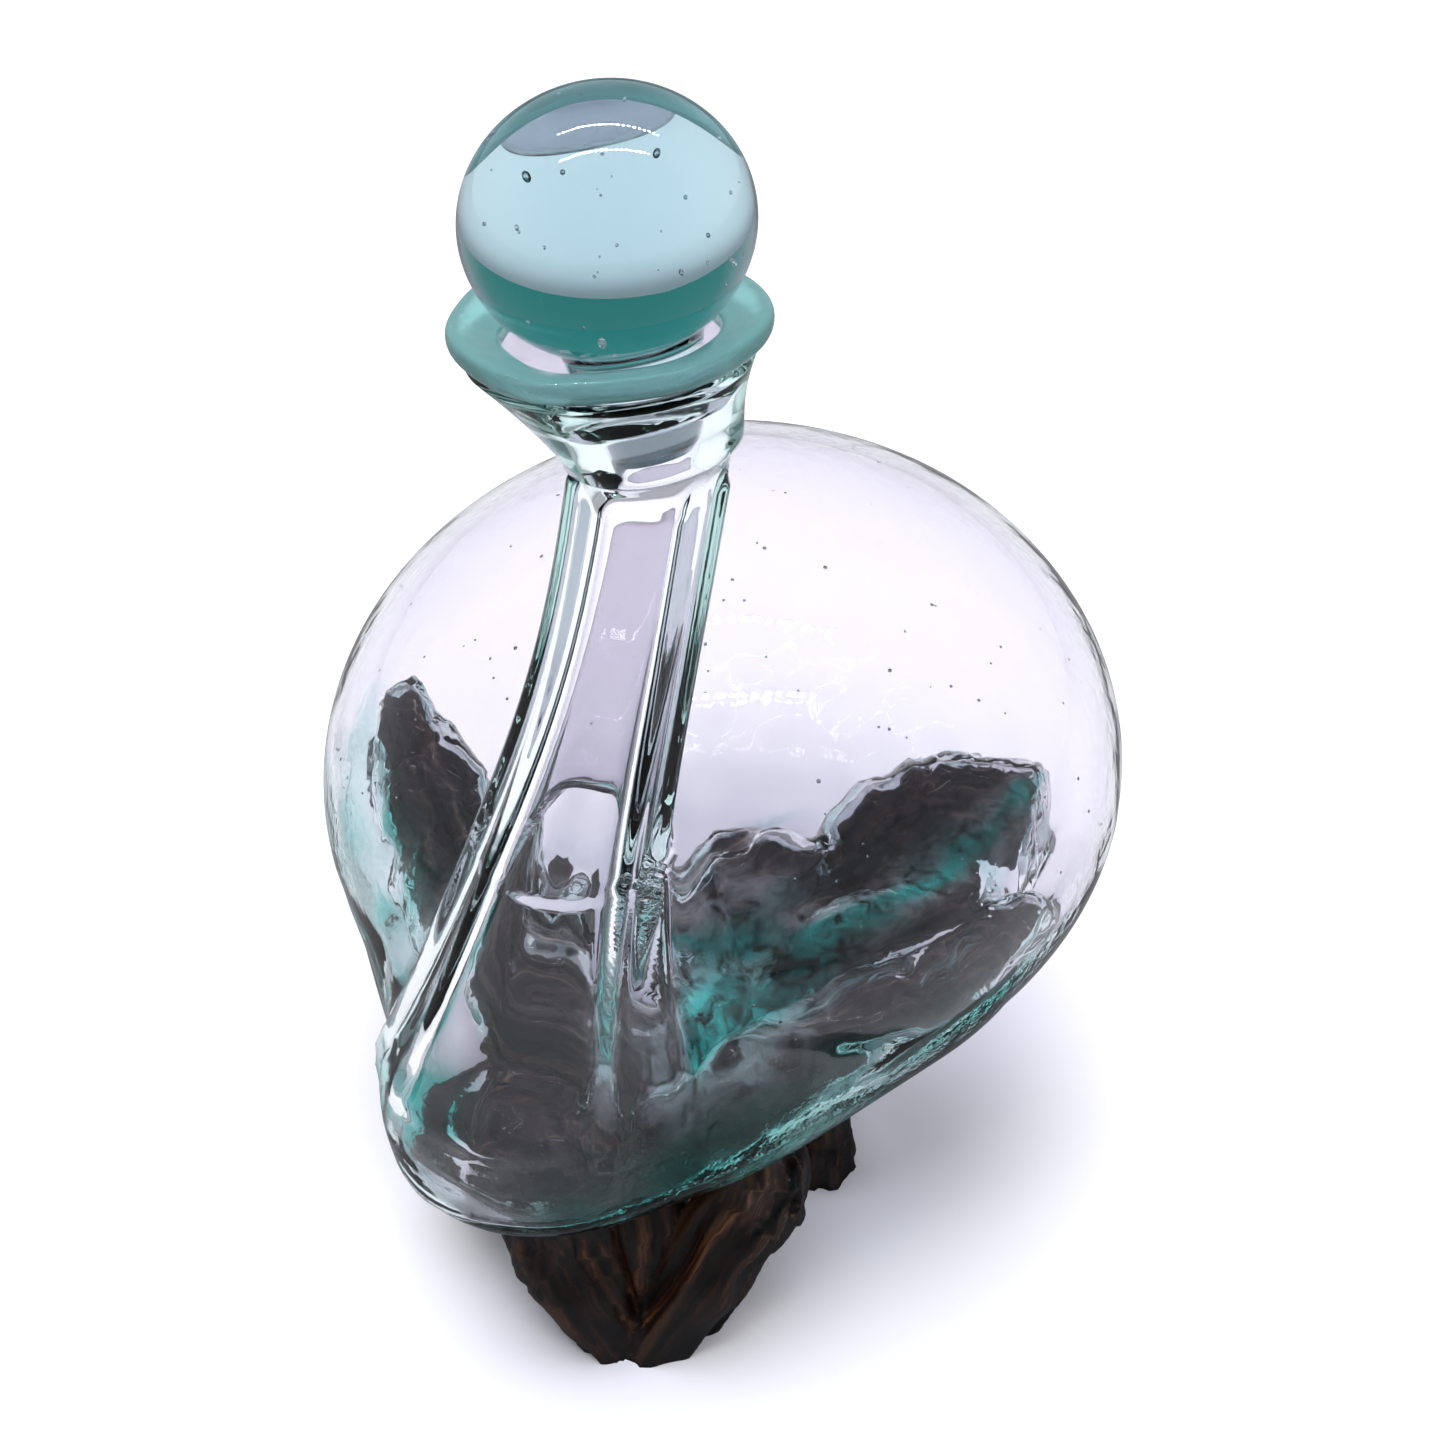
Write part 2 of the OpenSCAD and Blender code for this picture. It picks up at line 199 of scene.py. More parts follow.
co = points_of(root) / MM
grain = limb_grain(co)
bark = normals_of(root)
rough_top = np.clip((co[:, 2] - 50) / 14, 0, 1)
groove_place = grain * [0.1, 1, 1]
leg_calm = 0.3 + 0.7 * np.clip((co[:, 2] - 20) / 15, 0, 1)
broad_lumps = 0.9 * waves(co, 17, 14, 3)
grooves = 0.75 * waves(groove_place, 5.5, 22, 4) + 0.45 * waves(groove_place * [1.5, 1, 1], 2.7, 26, 5)
torn_top = 2.0 * np.abs(waves(co, 11, 18, 6)) + 1.8 * np.abs(waves(co, 5.5, 26, 7)) - 1.6
lumps = broad_lumps + leg_calm * grooves + rough_top * torn_top
crack = np.clip(waves(grain * [0.05, 1, 1], 8, 16, 8) - 0.75, 0, 1)
co = co + bark * (lumps - (1.2 + 2 * leg_calm) * crack)[:, None]
foot_low, foot_cut = 0.6, 0.15
co[:, 2] = np.where(co[:, 2] < foot_low, 0.0, co[:, 2])
set_points(root, co * MM)
only(root)
bpy.ops.object.mode_set(mode="EDIT")
bpy.ops.mesh.select_all(action="SELECT")
bpy.ops.mesh.bisect(plane_co=(0, 0, foot_cut * MM), plane_no=(0, 0, 1), clear_inner=True, use_fill=True)
bpy.ops.mesh.select_all(action="SELECT")
bpy.ops.mesh.normals_make_consistent(inside=False)
bpy.ops.object.mode_set(mode="OBJECT")
co = points_of(root) / MM
co[:, 2] = np.maximum(co[:, 2] - foot_cut, 0)
set_points(root, co * MM)
for poly in root.data.polygons:
    poly.use_smooth = True
grain = limb_grain(co)
along_grain = root.data.attributes.new("along_grain", "FLOAT_VECTOR", "POINT")
along_grain.data.foreach_set("vector", (grain * MM).astype(np.float32).ravel())


def linear(hex_colour):
    rgb = [int(hex_colour[i:i + 2], 16) / 255 for i in (0, 2, 4)]
    return [c / 12.92 if c <= 0.04045 else ((c + 0.055) / 1.055)**2.4 for c in rgb] + [1.0]


def add(tree, kind, links=(), **settings):
    """Adds a node, sets its sockets and properties, and joins (output, input) pairs."""
    node = tree.nodes.new(kind)
    for key, value in settings.items():
        if key in node.inputs.keys() or key.replace("_", " ") in node.inputs.keys():
            node.inputs[key if key in node.inputs.keys() else key.replace("_", " ")].default_value = value
        else:
            setattr(node, key, value)
    for output, name in links:
        tree.links.new(output, node.inputs[name])
    return node


def new_material(name):
    mat = bpy.data.materials.new(name)
    mat.use_nodes = True
    mat.node_tree.nodes.clear()
    return mat, mat.node_tree


def ramp(tree, value, stops):
    node = add(tree, "ShaderNodeValToRGB", [(value, "Fac")])
    elements = node.color_ramp.elements
    while len(elements) < len(stops):
        elements.new(0.5)
    for element, (place, colour) in zip(elements, stops):
        element.position = place
        element.color = colour if not isinstance(colour, str) else linear(colour)
    return node


# Sea-worn root, brushed and waxed: near-black in the hollows, red-brown on the rubbed ridges,
# with streaks that follow the grain and a soft wax shine. Above the legs it is greyer.
wood, tree = new_material("waxed_driftwood")
grain_at = add(tree, "ShaderNodeAttribute", attribute_name="along_grain")
stretch = add(tree, "ShaderNodeMapping", [(grain_at.outputs["Vector"], "Vector")], Scale=(0.06, 1, 1))
streaks = add(tree, "ShaderNodeTexNoise", [(stretch.outputs["Vector"], "Vector")],
              Scale=300.0, Detail=5.0, Roughness=0.6)
broad = add(tree, "ShaderNodeTexNoise", [(stretch.outputs["Vector"], "Vector")],
            Scale=130.0, Detail=3.0, Roughness=0.5)
place = add(tree, "ShaderNodeTexCoord")
patches = add(tree, "ShaderNodeTexNoise", [(place.outputs["Object"], "Vector")],
              Scale=38.0, Detail=4.0, Roughness=0.6)
dark_wood = ramp(tree, streaks.outputs["Fac"], [(0.38, "040302"), (0.50, "120a07"), (0.60, "2d1a10"),
                                                (0.70, "5e3c22"), (0.84, "a9804c")])
grey_wood = ramp(tree, streaks.outputs["Fac"], [(0.38, "0a0707"), (0.48, "1c1817"), (0.58, "3f3630"),
                                                (0.74, "8a7862")])
# Greyer above the legs: a lighter grey tone set by height alone, in random patches.
height = add(tree, "ShaderNodeSeparateXYZ", [(place.outputs["Object"], "Vector")])
above_legs_ramp = add(tree, "ShaderNodeMapRange", [(height.outputs["Z"], "Value")],
                From_Min=0.024, From_Max=0.042)
blotch = add(tree, "ShaderNodeMapRange", [(patches.outputs["Fac"], "Value")],
             From_Min=0.36, From_Max=0.52)
grey_above_legs = add(tree, "ShaderNodeMath", [(above_legs_ramp.outputs["Result"], 0), (blotch.outputs["Result"], 1)],
           operation="MULTIPLY")
grey_share = ramp(tree, grey_above_legs.outputs[0], [(0.0, (0, 0, 0, 1)), (1.0, (1, 1, 1, 1))])
tone = add(tree, "ShaderNodeMix", data_type="RGBA")
tree.links.new(grey_share.outputs["Color"], tone.inputs[0])
tree.links.new(dark_wood.outputs["Color"], tone.inputs[6])
tree.links.new(grey_wood.outputs["Color"], tone.inputs[7])
gold_share = ramp(tree, broad.outputs["Fac"], [(0.60, (0, 0, 0, 1)), (0.72, (0.7, 0.7, 0.7, 1))])
golden = add(tree, "ShaderNodeMix", data_type="RGBA")
tree.links.new(gold_share.outputs["Color"], golden.inputs[0])
tree.links.new(tone.outputs[2], golden.inputs[6])
golden.inputs[7].default_value = linear("4d321d")
relief = add(tree, "ShaderNodeBump", [(streaks.outputs["Fac"], "Height")], Strength=0.4, Distance=0.0006)
skin = add(tree, "ShaderNodeBsdfPrincipled",
           [(golden.outputs[2], "Base Color"), (relief.outputs["Normal"], "Normal")],
           Roughness=0.42, IOR=1.48)
add(tree, "ShaderNodeOutputMaterial", [(skin.outputs["BSDF"], "Surface")])
root.data.materials.append(wood)
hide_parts("root_crown", "prong_left", "prong_centre", "prong_right", "limb_side",
            "leg_front_right", "leg_front_left", "leg_right", "leg_back_left", "leg_back_right")
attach(root, "root")


# ---- Glass bottle ----
# Recycled aqua glass, blown and then set down hot over the root, so that its underside has
# slumped round the limbs. Thick clear ribs run down both sides of the leaning neck. The
# outside and the inside are one closed skin with the wall between them.
columns = 208
dome_wall, skirt_wall, heel_wall, floor_wall = 2.3, 4.0, 4.5, 6.0
rib_wall, bore_wall, least_wall = 4.4, 2.8, 2.0
dome_h, bowl_d, stand_h = 70.0, 50.0, 30.0
neck_h, neck_r, neck_root_r = 138.0, 12.2, 31.0
lean = np.array([22.0, 18.0])
dome_back = 0.87 * half_l
dome_y = half_l - dome_back
hub = np.array([0.04 * half_w, -0.18 * half_l, belt_z])
neck_root = np.array([0.02 * half_w, neck_root_r - half_l - 3.5])
heel = np.array([0.08 * half_w, -0.68 * half_l, 0.72 * belt_z])
heel_size = np.array([0.29 * half_w, 0.26 * half_l, 0.33 * belt_z])
skirt = np.array([0.07 * half_w, -0.27 * half_l, 0.7 * belt_z])
skirt_size = np.array([0.65 * half_w, 0.62 * half_l, 0.46 * belt_z])
neck_cut_z = belt_z + 0.77 * dome_h
neck_top_z = belt_z + neck_h
turn = np.arange(columns) / columns * 2 * math.pi
round_xy = np.stack([np.cos(turn), np.sin(turn)], 1)


def neck_share(z):
    return (np.asarray(z, float) - belt_z) / neck_h


def neck_centre(z):
    t = neck_share(z)
    s = np.sin(2 * math.pi * np.clip(t, 0, 1))
    return np.stack([neck_root[0] + lean[0] * (t + 0.03) - s, neck_root[1] + lean[1] * t], -1)


def neck_radius(z):
    t = np.clip(neck_share(z) + 0.05, 0, 1)
    low = np.maximum(0, 0.87 * belt_z - np.asarray(z, float)) / (0.45 * belt_z)
    return (neck_r + (neck_root_r - neck_r) * (1 - t)**2.2) * np.sqrt(np.maximum(0.01, 1 - low**2))


def neck_depth(z):
    return 1 - 0.16 * (1 - np.clip(neck_share(z), 0, 1))**3


def soft_min(a, b, k):
    return np.minimum(a, b) - np.maximum(0, k - np.abs(a - b))**2 / (4 * k)


def blob_gap(p, centre, size):
    return size[0] * (np.linalg.norm((p - centre) / size, axis=-1) - 1)


def body_gap(p):
    height = np.where(p[..., 2] > belt_z, dome_h, 1.1 * bowl_d)
    dome = half_w * (np.sqrt((p[..., 0] / half_w)**2 + ((p[..., 1] - dome_y) / dome_back)**2
                             + ((p[..., 2] - belt_z) / height)**2) - 1)
    c = neck_centre(p[..., 2])
    q = np.hypot(p[..., 0] - c[..., 0], (p[..., 1] - c[..., 1]) / neck_depth(p[..., 2]))
    flare = np.maximum(q - neck_radius(p[..., 2]), p[..., 2] - neck_cut_z)
    return soft_min(soft_min(dome, blob_gap(p, skirt, skirt_size), 18.0),
                    soft_min(flare, blob_gap(p, heel, heel_size), 9.0), 9.0)


def smooth_step(t):
    t = np.clip(t, 0, 1)
    return t * t * (3 - 2 * t)


# The bore is a slot between the two ribs, widest from front to back.
view = math.radians(-65)
toward = np.array([math.cos(view), math.sin(view)])
across = np.array([-toward[1], toward[0]])


def bore_half(z):
    z = np.asarray(z, float)
    wide = neck_radius(z) - rib_wall
    deep = neck_radius(z) * neck_depth(z) - bore_wall
    return wide, deep


def bore_ring(z):
    wide, deep = bore_half(z)
    c, s = np.cos(turn - view), np.sin(turn - view)
    local = np.column_stack([deep * np.sign(c) * np.abs(c)**0.9, wide * np.sign(s) * np.abs(s)**0.75])
    xy = neck_centre(z) + np.outer(local[:, 0], toward) + np.outer(local[:, 1], across)
    return np.column_stack([xy, np.full(columns, z)])


def hollow_gap(p):
    """Negative inside the bottle's hollow."""
    width, depth = half_w - dome_wall, dome_back - dome_wall
    height = np.where(p[..., 2] > belt_z, dome_h, 1.1 * bowl_d) - dome_wall
    dome = half_w * (np.sqrt((p[..., 0] / width)**2 + ((p[..., 1] - dome_y) / depth)**2
                             + ((p[..., 2] - belt_z) / height)**2) - 1)
    q = p[..., :2] - neck_centre(p[..., 2])
    wide, deep = bore_half(p[..., 2])
    r = ((np.abs(q @ toward) / deep)**2.2 + (np.abs(q @ across) / wide)**2.6)**(1 / 2.4)
    bore = np.maximum((r - 1) * 8.0, p[..., 2] - neck_cut_z)
    return soft_min(soft_min(dome, blob_gap(p, skirt, skirt_size - skirt_wall), 14.0),
                    soft_min(bore, blob_gap(p, heel, heel_size - heel_wall), 9.0), 13.0)


def reach(directions, gap=body_gap):
    """How far the skin lies from the hub each way, the hollow's always short of the outside's."""
    near = np.full(directions.shape[:-1], 5.0)
    far = np.full(directions.shape[:-1], 2 * half_l + dome_h)
    for _ in range(24):
        middle = (near + far) / 2
        inside = gap(hub + directions * middle[..., None]) < 0
        near, far = np.where(inside, middle, near), np.where(inside, far, middle)
    found = (near + far) / 2
    return found if gap is body_gap else np.minimum(found, reach(directions) - least_wall)


def unit(v):
    return v / np.linalg.norm(v, axis=-1, keepdims=True)


# The rim where the dome meets the underside is level at the back and dips at the front.
dip = np.radians(18.0) * np.maximum(0, -np.sin(turn))**0.8
belt_dir = np.stack([np.cos(turn) * np.cos(dip), np.sin(turn) * np.cos(dip), -np.sin(dip)], 1)
cut_ring = np.column_stack([neck_centre(neck_cut_z) + neck_radius(neck_cut_z) * round_xy,
                            np.full(columns, neck_cut_z)])


def dome_rows(shares, ring=cut_ring, gap=body_gap):
    a = unit(ring - hub)
    w = np.arccos(np.clip((a * belt_dir).sum(-1), -1, 1))[:, None]
    rows = []
    for t in shares:
        d = unit((a * np.sin((1 - t) * w) + belt_dir * np.sin(t * w)) / np.sin(w))
        rows.append(hub + d * reach(d, gap)[:, None])
    return rows


# The slumped underside is a height map: the bowl, lifted clear of the wood wherever a limb
# stands higher. Nothing hooks under the wood, so the bottle lifts straight off.
cell = 1.25
reach_x, reach_y, no_wood = 102, 122, -20.0
grid_x = np.arange(-reach_x, reach_x + cell, cell)
grid_y = np.arange(-reach_y, reach_y + cell, cell)
tree_of_root = bvhtree.BVHTree.FromPolygons([v.co.copy() for v in root.data.vertices],
                                            [tuple(p.vertices) for p in root.data.polygons])
wood_top = np.full((len(grid_x), len(grid_y)), no_wood)
for i, x in enumerate(grid_x):
    for j, y in enumerate(grid_y):
        hit = tree_of_root.ray_cast(Vector((x * MM, y * MM, 0.3)), Vector((0, 0, -1)))[0]
        if hit is not None:
            wood_top[i, j] = hit.z / MM


def spread_up(heights, radius):
    """Each cell takes the highest value within a radius, dropping as a ball does."""
    out = heights.copy()
    n = int(radius / cell) + 1
    for a in range(-n, n + 1):
        for b in range(-n, n + 1):
            d = math.hypot(a, b) * cell
            if d <= radius:
                drop = radius - math.sqrt(radius**2 - d**2)
                out = np.maximum(out, np.roll(heights, (a, b), (0, 1)) - drop)
    return out


def blurred(heights, times):
    for _ in range(times):
        h = np.pad(heights, 1, mode="edge")
        heights = (h[:-2, 1:-1] + h[2:, 1:-1] + h[1:-1, :-2] + h[1:-1, 2:] + 4 * h[1:-1, 1:-1]) / 8
    return heights


def sampled(heights, x, y):
    u = np.clip((x - grid_x[0]) / cell, 0, len(grid_x) - 1.001)
    v = np.clip((y - grid_y[0]) / cell, 0, len(grid_y) - 1.001)
    i, j = u.astype(int), v.astype(int)
    u, v = u - i, v - j
    return (heights[i, j] * (1 - u) * (1 - v) + heights[i + 1, j] * u * (1 - v)
            + heights[i, j + 1] * (1 - u) * v + heights[i + 1, j + 1] * u * v)


drape_gap, least_gap = 1.6, 0.5
drape = blurred(spread_up(wood_top, 3.0), 2) + drape_gap
drape = np.maximum(drape, spread_up(wood_top, 1.3) + least_gap)
inner_drape = blurred(spread_up(drape, 2.6), 3)


def soft_max(a, b, k):
    return -soft_min(-a, -b, k)


dish_x, dish_y, dish_r, dish_z = -4.5, -78.0, 16.5, 41.0
thin_from, thin_over = 48, 14


def bowl_rows(levels, floor):
    """Rows of the underside from the rim in to the pole; floor is the wall's thickness."""
    top_cover = inner_drape if floor else drape
    rim = hub + belt_dir * reach(belt_dir, hollow_gap if floor else body_gap)[:, None]
    rows = []
    for k in range(1, levels + 1):
        share = math.cos(math.pi / 2 * k / (levels + 0.6))
        x = hub[0] + (rim[:, 0] - hub[0]) * share
        y = hub[1] + (rim[:, 1] - hub[1]) * share
        low_z = stand_h + floor
        low = rim[:, 2] + (low_z - rim[:, 2]) * math.sqrt(max(0, 1 - share**2.4))
        p = np.stack([x, y, low], 1)
        over = sampled(top_cover, x, y)
        thin = 1 - 0.6 * np.clip((over - thin_from) / thin_over, 0, 1)
        over = over + floor * thin * (0.75 + 0.35 * waves(p * [1, 1, 0.4], 21, 16, 31))
        fade = min(1, (1 - share) / 0.09)
        z = low + (soft_max(low, over, 5.0) - low) * fade
        if floor:
            # In the heel the floor is a round flat dish with a raised edge.
            d = np.hypot(x - dish_x, y - dish_y) / dish_r
            flat_share = smooth_step((1.12 - d) / 0.25)
            z = z * (1 - flat_share) + np.maximum(z - 1.5, dish_z) * flat_share
            edge = 1.8 * np.exp(-((d - 1.1) / 0.1)**2)
            z = z + fade * (0.5 * (1 - flat_share) * waves(p, 13, 16, 32) + edge)
        rows.append(np.stack([x, y, z], 1))
    return rows


# Ribs: thick folds of clear glass from the neck down to two curled feet.
def rib_line(heights, bearing):
    out = []
    for z, a in zip(heights, np.radians(bearing)):
        c = neck_centre(z)
        r = float(neck_radius(z))
        out.append((c[0] + r * math.cos(a), c[1] + r * math.sin(a) * neck_depth(z), z))
    return np.array(out)


rib_top, rib_foot = 212, 62
rib_z = np.linspace(rib_top, rib_foot, 40)
rib_share = (rib_top - rib_z) / (rib_top - rib_foot)
# Each rib: its line, its width, and how far it stands out of the outside and into the hollow.
ribs = [(rib_line(rib_z, -142 - 26 * rib_share), 2.8, 1.6, 0.6),
        (rib_line(rib_z, -118 - 12 * rib_share), 2.0, 0.8, 0.3),
        (rib_line(rib_z, 8 + 4 * np.sin(rib_share * 5)), 3.2, 1.8, 0.8),
        (rib_line(rib_z, -26 - 4 * rib_share), 2.4, 1.2, 0.5)]

# Each curl of glass: where its middle lies, and its radius.
curls = [(ribs[0][0][-1] + [6, -2, 2], 3.0), (ribs[2][0][-1], 5.0), (np.array([45, -66, 46]), 6.5),
         (np.array([60, -44, 47]), 5.0), (np.array([72, -22, 54]), 4.5), (np.array([-44, -62, 52]), 3.5),
         (np.array([-27, -82, 42]), 4.5)]


def rib_rise(p, inner):
    total = np.zeros(len(p))
    for line, width, outer_rise, inner_rise in ribs:
        d = np.full(len(p), 1e9)
        for a, b in zip(line[:-1], line[1:]):
            ab = b - a
            t = np.clip((p - a) @ ab / (ab @ ab), 0, 1)
            d = np.minimum(d, np.linalg.norm(p - a - t[:, None] * ab, axis=1))
        total += (inner_rise if inner else outer_rise) * np.exp(-(d / width)**2)
    # A curl is a ring of glass round a dimple.
    for foot, size in curls:
        d = np.linalg.norm(p - foot, axis=1) / size
        rise = (0.34 if foot[0] < 40 else 0.46) * size
        total += rise * (np.exp(-((d - 1) / 0.42)**2) + (0 if inner else 0.5) * np.exp(-(d / 0.33)**2))
    return total


def grid_normals(rows):
    g = np.array(rows)
    du = np.roll(g, -1, 1) - np.roll(g, 1, 1)
    dv = np.gradient(g, axis=0)
    return unit(np.cross(du, dv) * -1 + 1e-12)


# The mouth: the seat for the peg is bored along the stopper's own axis.
lip_tilt = np.array(Euler(np.radians([-3.5, -4.2, 0])).to_matrix())
seat_tilt = np.array(Euler(np.radians([-2.2, -11.8, 0])).to_matrix())
seat_foot = np.array([*neck_centre(neck_top_z), neck_top_z])
lip_centre = seat_foot + [-8.5, 0.28 * 8.5, 17.0]
ball_size, ball_h = np.array([23.1, 23.1, 20.75]), 37.2
peg_low_r, peg_top_r, seat_gap = 7.5, 12.0, 0.4
ball_cut = math.sqrt(1 - (peg_top_r / ball_size[0])**2)
peg_low, peg_high = 1.0, ball_h - ball_size[2] * ball_cut


def peg_radius(h):
    return peg_low_r + (peg_top_r - peg_low_r) * (h - peg_low) / (peg_high - peg_low)


def lip_row(height, radius):
    return lip_centre + np.column_stack([radius * round_xy, np.full(columns, height)]) @ lip_tilt.T


def seat_row(height, radius):
    return seat_foot + np.column_stack([radius * round_xy, np.full(columns, height)]) @ seat_tilt.T


def between(a, b, shares, bow=0.0):
    return [a + (b - a) * t + bow * math.sin(math.pi * t) * unit(a - a.mean(0)) for t in shares]


funnel_top_out, funnel_top_in = lip_row(-2.9, 23.6), lip_row(-3.6, 19.0)
funnel_foot = seat_row(1.0, 15.2)
neck_heights = np.linspace(neck_top_z - 4, neck_cut_z, 54)
outer = [funnel_top_out] + between(funnel_top_out, funnel_foot, np.linspace(0.08, 1, 16), -0.6)
outer += [seat_row(-0.6, 14.9), seat_row(-1.6, 13.8), seat_row(-2.2, 12.9)]
for z in neck_heights:
    outer.append(np.column_stack([neck_centre(z) + neck_radius(z) * round_xy, np.full(columns, z)]))
dome_shares = np.linspace(0, 1, 72)[1:]
outer += dome_rows(dome_shares)
under = bowl_rows(70, 0.0)
outer_skin = np.array(outer + under)
normal = grid_normals(outer_skin)
flat = outer_skin.reshape(-1, 3)
neck_weight = np.clip((flat[:, 2] - 50) / 10, 0, 1) * np.clip((neck_top_z + 2 - flat[:, 2]) / 6, 0, 1)
low_weight = np.clip((88 - flat[:, 2]) / 32, 0, 1)
above_under = np.repeat(np.arange(len(outer_skin)) < len(outer), columns)
move = neck_weight * above_under * rib_rise(flat, False)
move += 0.04 * waves(flat, 46, 12, 41) * above_under
move += above_under * low_weight * (0.45 * waves(flat * [1, 1, 1.5], 30, 16, 42)
                                    + 0.16 * waves(flat, 11, 18, 43))
outer_skin = (flat + normal.reshape(-1, 3) * move[:, None]).reshape(outer_skin.shape)

# Inside: the flare above the seat, the seat, the bore, the thin dome and the thick floor.
inner = [funnel_top_in]
seat_top = seat_row(8.0, peg_radius(8.0) + seat_gap)
inner += between(funnel_top_in, seat_top, np.linspace(0.15, 1, 8))
inner += [seat_row(h, peg_radius(h) + seat_gap) for h in np.linspace(7, 0, 8)]
inner += [seat_row(-2.0, 6.9), seat_row(-4.0, 6.6)]
for z in np.linspace(neck_top_z - 8, neck_cut_z, 40):
    inner.append(bore_ring(float(z)))
inner_dome = np.array(dome_rows(np.linspace(0, 1, 56)[1:], inner[-1], hollow_gap))
p = inner_dome.reshape(-1, 3)
low = np.clip((88 - p[:, 2]) / 32, 0, 1)
inward = -(0.06 * waves(p, 34, 14, 51) + 0.35 * low * waves(p, 13, 16, 52)
           + 0.6 * rib_rise(p, True) * np.clip((p[:, 2] - 50) / 10, 0, 1) * low)
inner += list((p + grid_normals(inner_dome).reshape(-1, 3) * inward[:, None]).reshape(inner_dome.shape))
inner_under = bowl_rows(62, floor_wall)
inner += inner_under
inner_skin = np.array(inner)


def skin_faces(rows, start, flip):
    quads = []
    for k in range(rows - 1):
        for i in range(columns):
            j = (i + 1) % columns
            a, b = start + k * columns, start + (k + 1) * columns
            quad = (a + i, b + i, b + j, a + j)
            quads.append(quad[::-1] if flip else quad)
    return quads


points = np.vstack([outer_skin.reshape(-1, 3), inner_skin.reshape(-1, 3)])
inner_start = len(outer_skin) * columns
faces = skin_faces(len(outer_skin), 0, False) + skin_faces(len(inner_skin), inner_start, True)
for i in range(columns):
    j = (i + 1) % columns
    faces.append((i, j, inner_start + j, inner_start + i))
outer_last, inner_last = inner_start - columns, len(points) - columns
pole_out = points[outer_last:inner_start].mean(0)
pole_in = points[inner_last:].mean(0)
points = np.vstack([points, pole_out, pole_in])
for i in range(columns):
    j = (i + 1) % columns
    faces.append((outer_last + i, len(points) - 2, outer_last + j))
    faces.append((inner_last + j, len(points) - 1, inner_last + i))
bottle = make_mesh("glass_bottle", points * MM, faces)
for poly in bottle.data.polygons:
    poly.use_smooth = True


# Seeds: small air bubbles caught in the wall, left from the melt.
def add_seeds(ob, places, radii, stretch):
    """Joins a small hollow to the glass at each place, its faces turned to the air inside it."""
    bpy.ops.object.select_all(action="DESELECT")
    bpy.ops.mesh.primitive_ico_sphere_add(subdivisions=2, radius=1.0, location=(0, 0, 0))
    ball = bpy.context.object
    shape = points_of(ball)
    sides = [tuple(f.vertices)[::-1] for f in ball.data.polygons]
    bpy.data.objects.remove(ball)
    verts = np.vstack([c + shape * r * k for c, r, k in zip(places, radii, stretch)])
    hollows = make_mesh("seeds", verts * MM, [tuple(v + n * len(shape) for v in f)
                                              for n in range(len(places)) for f in sides])
    for poly in hollows.data.polygons:
        poly.use_smooth = True
    hollows.select_set(True)
    ob.select_set(True)
    bpy.context.view_layer.objects.active = ob
    bpy.ops.object.join()


spots = np.random.default_rng(71)
ways = spots.normal(size=(420, 3))
ways = unit(ways * [1, 1, 0.6] + [0, 0.1, 0.5])
ways = ways[(ways[:, 2] > 0.02) & ((ways[:, 1] > -0.45) | (np.abs(ways[:, 0]) > 0.6))][:150]
outside, inside = reach(ways), reach(ways, hollow_gap)
wall_there = outside - inside
radii = np.minimum(spots.uniform(0.18, 0.42, len(ways)), wall_there * 0.3)
mid_wall = hub + ways * ((outside + inside) / 2)[:, None]
add_seeds(bottle, mid_wall, radii, spots.uniform(0.8, 1.3, (len(ways), 3)))


